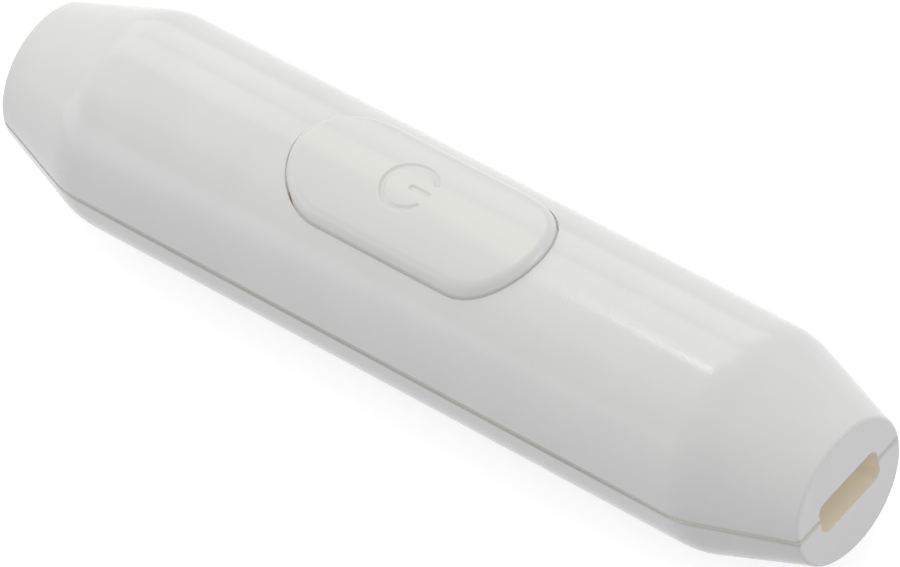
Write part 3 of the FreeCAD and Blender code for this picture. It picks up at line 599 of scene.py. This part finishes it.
def block(name, low, high):
    """A box between two corners."""
    points = [(x, y, z) for x in (low[0], high[0]) for y in (low[1], high[1]) for z in (low[2], high[2])]
    faces = [(0, 1, 3, 2), (4, 6, 7, 5), (0, 4, 5, 1), (2, 3, 7, 6), (0, 2, 6, 4), (1, 5, 7, 3)]
    return mesh_from(name, points, faces, KEY_ANGLE)


def carve(target, tool, operation):
    """Joins a tool to the target or cuts it out, and removes the tool."""
    step = target.modifiers.new(tool.name, "BOOLEAN")
    step.object = tool
    step.operation = operation
    step.solver = "EXACT"
    shape = bpy.data.meshes.new_from_object(target.evaluated_get(bpy.context.evaluated_depsgraph_get()))
    target.modifiers.clear()
    target.data = shape
    bpy.data.objects.remove(tool)


def key_with_stem():
    """The key with the two tabs that stop it in the housing and the boss that holds the plunger."""
    body = key_mesh()
    for side in (-1, 1):
        ends = sorted((side * TAB_IN, side * TAB_OUT))
        low = (ends[0], -TAB_HALF_WIDTH, TAB_BASE)
        carve(body, block("tab", low, (ends[1], TAB_HALF_WIDTH, TAB_TOP)), "UNION")
    boss_x, boss_y = BOSS_HALF
    carve(body, block("boss", (-boss_x, -boss_y, BOSS_BASE), (boss_x, boss_y, BOSS_TOP)), "UNION")
    socket_x, socket_y = SOCKET_HALF
    low = (-socket_x, -socket_y, KEY_BASE - OVERCUT)
    carve(body, block("socket", low, (socket_x, socket_y, SOCKET_TOP)), "DIFFERENCE")
    smooth(body.data, KEY_ANGLE)
    return body


key = key_with_stem()
key.data.materials.append(KEY)
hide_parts("push_key")
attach(key, "key")


# Coil spring under the plunger


def coil_mesh():
    """Round wire wound between two heights, with closed end turns."""
    radius = 1.03
    wire = 0.17
    low = 2.62
    high = 8.08
    turns = 6
    closed_turns = 0.75
    per_turn = 28
    around = 10
    middle_y = -0.7
    points = []
    faces = []
    count = turns * per_turn
    for number in range(count + 1):
        share = number / count
        angle = 2 * math.pi * turns * share
        climb = min(max((share * turns - closed_turns) / (turns - 2 * closed_turns), 0.0), 1.0)
        rise = low + wire + (high - low - 2 * wire) * climb
        for side in range(around):
            tilt = 2 * math.pi * side / around
            reach = radius + wire * math.cos(tilt)
            across = middle_y + reach * math.sin(angle)
            points.append((reach * math.cos(angle), across, rise + wire * math.sin(tilt)))
    for number in range(count):
        for side in range(around):
            following = (side + 1) % around
            a = number * around
            b = a + around
            faces.append((a + side, b + side, b + following, a + following))
    faces.append(tuple(range(around)))
    faces.append(tuple(reversed(range(count * around, (count + 1) * around))))
    return mesh_from("coil", points, faces, COIL_ANGLE)


coil = coil_mesh()
coil.data.materials.append(SPRING)
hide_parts("return_spring")
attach(coil, "housing")
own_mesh(coil)


# Floor, world and lamps

FLOOR_HALF = 3.0
FLOOR_DROP = 0.2 * MM
FLOOR_COLOUR = (0.48, 0.48, 0.49, 1)
FLOOR_GLOW = 0.74


def seen_directly(tree):
    """1 for camera, mirror and glass rays, else 0."""
    path = tree.nodes.new("ShaderNodeLightPath")
    first = tree.nodes.new("ShaderNodeMath")
    first.operation = "MAXIMUM"
    second = tree.nodes.new("ShaderNodeMath")
    second.operation = "MAXIMUM"
    tree.links.new(path.outputs["Is Camera Ray"], first.inputs[0])
    tree.links.new(path.outputs["Is Glossy Ray"], first.inputs[1])
    tree.links.new(first.outputs[0], second.inputs[0])
    tree.links.new(path.outputs["Is Transmission Ray"], second.inputs[1])
    return second.outputs[0]


def floor():
    """A floor that is seen as white but for the object's shadow."""
    half = FLOOR_HALF
    corners = [(-half, -half, 0), (half, -half, 0), (half, half, 0), (-half, half, 0)]
    mesh = bpy.data.meshes.new("floor")
    mesh.from_pydata(corners, [], [(0, 1, 2, 3)])
    ground = link(bpy.data.objects.new("floor", mesh))
    ground.location.z = -FLOOR_DROP
    material = bpy.data.materials.new("floor")
    material.use_nodes = True
    tree = material.node_tree
    tree.nodes.remove(tree.nodes["Principled BSDF"])
    diffuse = tree.nodes.new("ShaderNodeBsdfDiffuse")
    diffuse.inputs["Color"].default_value = FLOOR_COLOUR
    glow = tree.nodes.new("ShaderNodeEmission")
    strength = tree.nodes.new("ShaderNodeMath")
    strength.operation = "MULTIPLY"
    strength.inputs[1].default_value = FLOOR_GLOW
    tree.links.new(seen_directly(tree), strength.inputs[0])
    tree.links.new(strength.outputs[0], glow.inputs["Strength"])
    both = tree.nodes.new("ShaderNodeAddShader")
    tree.links.new(diffuse.outputs[0], both.inputs[0])
    tree.links.new(glow.outputs[0], both.inputs[1])
    tree.links.new(both.outputs[0], tree.nodes["Material Output"].inputs["Surface"])
    mesh.materials.append(material)


def world(level, horizon, zenith):
    """A sky that lights the object from the horizon's colour to the zenith's, and is seen as white."""
    sky = bpy.data.worlds.new("studio")
    bpy.context.scene.world = sky
    sky.use_nodes = True
    tree = sky.node_tree
    direct = seen_directly(tree)
    direction = tree.nodes.new("ShaderNodeSeparateXYZ")
    tree.links.new(tree.nodes.new("ShaderNodeTexCoord").outputs["Generated"], direction.inputs[0])
    tint = tree.nodes.new("ShaderNodeValToRGB")
    tint.color_ramp.elements[0].color = (*horizon, 1)
    tint.color_ramp.elements[1].color = (*zenith, 1)
    tree.links.new(direction.outputs["Z"], tint.inputs["Fac"])
    colour = tree.nodes.new("ShaderNodeMix")
    colour.data_type = "RGBA"
    colour.inputs[7].default_value = (1, 1, 1, 1)
    tree.links.new(direct, colour.inputs["Factor"])
    tree.links.new(tint.outputs["Color"], colour.inputs[6])
    tree.links.new(colour.outputs[2], tree.nodes["Background"].inputs["Color"])
    strength = tree.nodes.new("ShaderNodeMapRange")
    strength.inputs["To Min"].default_value = level
    strength.inputs["To Max"].default_value = 1.0
    tree.links.new(direct, strength.inputs["Value"])
    tree.links.new(strength.outputs["Result"], tree.nodes["Background"].inputs["Strength"])


def lamp(name, place, edge, size, radiance, colour):
    """A soft box that faces the object, its size in metres and its width along the edge's direction."""
    width, height = size
    light = bpy.data.lights.new(name, "AREA")
    light.shape = "RECTANGLE"
    light.size = width
    light.size_y = height
    light.energy = radiance * math.pi * width * height
    light.color = colour
    box = link(bpy.data.objects.new(name, light))
    away = Vector(place).normalized()
    side = (Vector(edge) - away * away.dot(Vector(edge))).normalized()
    turn = Matrix((side, away.cross(side), away)).transposed().to_4x4()
    box.matrix_world = Matrix.Translation(Vector(place)) @ turn


def sky_point(azimuth, elevation, distance):
    """A point seen from the object at that compass angle and height."""
    azimuth = math.radians(azimuth)
    elevation = math.radians(elevation)
    level = distance * math.cos(elevation)
    return (level * math.cos(azimuth), level * math.sin(azimuth), distance * math.sin(elevation))


ALONG = (1, 0, 0)
ACROSS = (0, 1, 0)
SLANT = (0.445, -0.842, 0.305)

floor()
world(0.667, (0.94, 0.937, 1.0), (1.0, 1.0, 0.935))
lamp("back_high", (-0.6, 0.50, 0.80), ALONG, (0.7, 0.45), 1.4, (1.0, 1.0, 0.88))
lamp("back_low", (-0.6, 0.85, 0.40), ALONG, (0.7, 0.45), 1.0, (0.9, 0.89, 1.0))
lamp("left_high", sky_point(190, 45, 1.2), ACROSS, (0.8, 0.8), 0.5, (1.0, 1.0, 0.85))
lamp("left_low", sky_point(220, 15, 1.2), ACROSS, (0.8, 0.5), 1.25, (0.92, 0.9, 1.0))
lamp("end_box", sky_point(22, 10, 1.2), ACROSS, (0.8, 0.36), 2.5, (0.95, 0.95, 1.0))
lamp("strip", (-0.1205, 0.071, 0.268), SLANT, (0.036, 0.018), 4.5, (1.0, 1.0, 0.9))
lamp("spark", (-0.1138, 0.0475, 0.2756), SLANT, (0.008, 0.008), 65.0, (1.0, 1.0, 0.95))


# Camera

TURN = math.radians(50.581)
TILT = math.radians(48.296)
ROLL = math.radians(-14.422)
DISTANCE = 0.7017
LENS = 350.04
SENSOR_WIDTH = 36.0
SHIFT_X = 0.01158
SHIFT_Y = -0.00854
NEAREST = 0.01

back = Vector((math.sin(TURN) * math.cos(TILT), -math.cos(TURN) * math.cos(TILT), math.sin(TILT)))
level = Vector((math.cos(TURN), math.sin(TURN), 0.0))
rise = back.cross(level)
right = math.cos(ROLL) * level + math.sin(ROLL) * rise
up = math.cos(ROLL) * rise - math.sin(ROLL) * level

view = bpy.data.cameras.new("camera")
view.lens = LENS
view.sensor_width = SENSOR_WIDTH
view.shift_x = SHIFT_X
view.shift_y = SHIFT_Y
view.clip_start = NEAREST
camera = link(bpy.data.objects.new("camera", view))
turn = Matrix((right, up, back)).transposed().to_4x4()
camera.matrix_world = Matrix.Translation(Vector((0, 0, AXIS * MM)) + back * DISTANCE) @ turn
bpy.context.scene.camera = camera
bpy.context.scene.view_settings.view_transform = "Standard"
